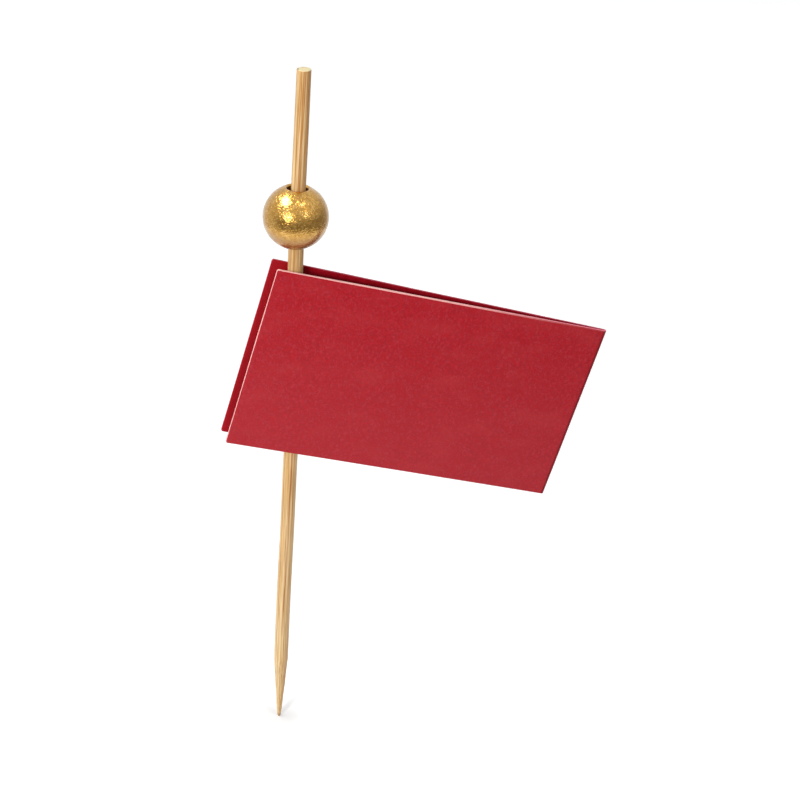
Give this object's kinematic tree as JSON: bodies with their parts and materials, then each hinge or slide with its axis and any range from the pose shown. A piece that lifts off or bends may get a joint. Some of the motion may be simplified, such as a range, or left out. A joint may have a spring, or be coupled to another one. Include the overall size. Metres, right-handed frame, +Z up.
{
  "type": "flag toothpick",
  "caption": "Pointed bamboo pick with a gold wooden bead near its top and a folded crimson card flag glued round the stick below it.",
  "frame": {"origin": "the skewer's point, on the skewer's axis", "axes": "+Z up the skewer towards its flat top, +X from the skewer along the flag to its fold, -Y out of the flag's front leaf"},
  "size_m": [0.0615, 0.01, 0.12],
  "materials": {
    "bamboo": "satin",
    "gold_lacquer": "gloss",
    "clear_glue": "gloss",
    "crimson_card": "matte"
  },
  "bodies": {
    "root": {"skewer": "bamboo", "bead": "gold_lacquer", "bead_glue": "clear_glue", "flag_card": "crimson_card", "flag_glue_front": "clear_glue", "flag_glue_back": "clear_glue"}
  },
  "joints": []
}
